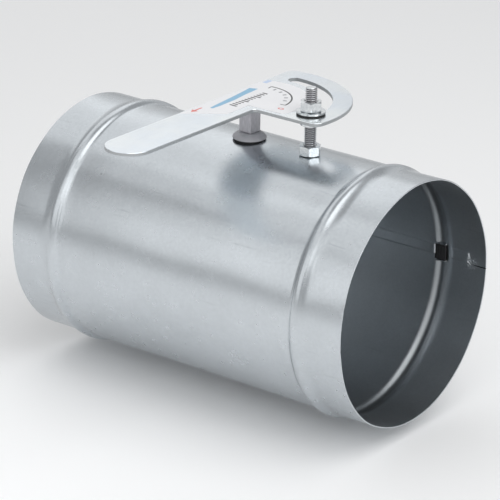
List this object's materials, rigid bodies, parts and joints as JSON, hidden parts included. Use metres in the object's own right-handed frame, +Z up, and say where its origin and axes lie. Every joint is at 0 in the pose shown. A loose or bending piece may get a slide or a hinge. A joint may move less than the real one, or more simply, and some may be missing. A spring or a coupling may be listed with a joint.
{
  "type": "manual duct damper",
  "caption": "Round galvanised duct damper with beaded male spigots; a slotted lever turns the disc blade inside and is clamped on a threaded stud by a nut.",
  "frame": {"origin": "centre of the inlet spigot's open end, on the duct's axis", "axes": "+X along the duct from the inlet to the outlet, +Z up along the shaft to the lever, and the lever points to -Y with the blade closed"},
  "size_m": [0.205, 0.1682, 0.1658],
  "materials": {
    "galvanised_sheet": "satin hot-dip galvanised with faint spangle",
    "zinc_plate": "bright zinc plated",
    "zinc_hardware": "bright zinc plated",
    "shaft_steel": "dull zinc plated",
    "bush_nylon": "moulded, matt grey",
    "black_rubber": "matt black",
    "label_film": "printed film"
  },
  "bodies": {
    "casing": {"duct_casing": "galvanised_sheet", "seam_sealant": "black_rubber", "upper_bush": "bush_nylon", "upper_bush_seal": "black_rubber", "lower_bush": "bush_nylon", "lower_bush_seal": "black_rubber", "locking_stud": "zinc_hardware", "stud_seal": "black_rubber", "base_nut": "zinc_hardware", "support_nut": "zinc_hardware"},
    "lever": {"handle_plate": "zinc_plate", "scale_label": "label_film", "damper_shaft": "shaft_steel", "damper_blade": "galvanised_sheet", "blade_rivets": "zinc_hardware", "thrust_washer": "zinc_hardware", "retaining_clip": "zinc_hardware"},
    "clamp_washers": {"clamp_washer": "zinc_hardware", "clamp_washer_pad": "black_rubber"},
    "clamp_nut": {"clamp_nut": "zinc_hardware"}
  },
  "joints": [
    {"name": "lever_turn", "type": "hinge", "parent": "casing", "child": "lever", "pos_m": [0.1025, 0, 0], "axis": [0, 0, 1], "range_deg": [-90, 0]},
    {"name": "washer_lift", "type": "slide", "parent": "casing", "child": "clamp_washers", "axis": [0, 0, 1], "range_m": [0, 0.002]},
    {"name": "nut_turn", "type": "hinge", "parent": "clamp_washers", "child": "clamp_nut", "pos_m": [0.1396, 0, 0.0846], "axis": [0, 0, 1], "range_deg": [0, 721]}
  ],
  "couplings": [
    {"joint": "nut_turn", "follows": "washer_lift", "rad_per_m": 6283.2}
  ]
}
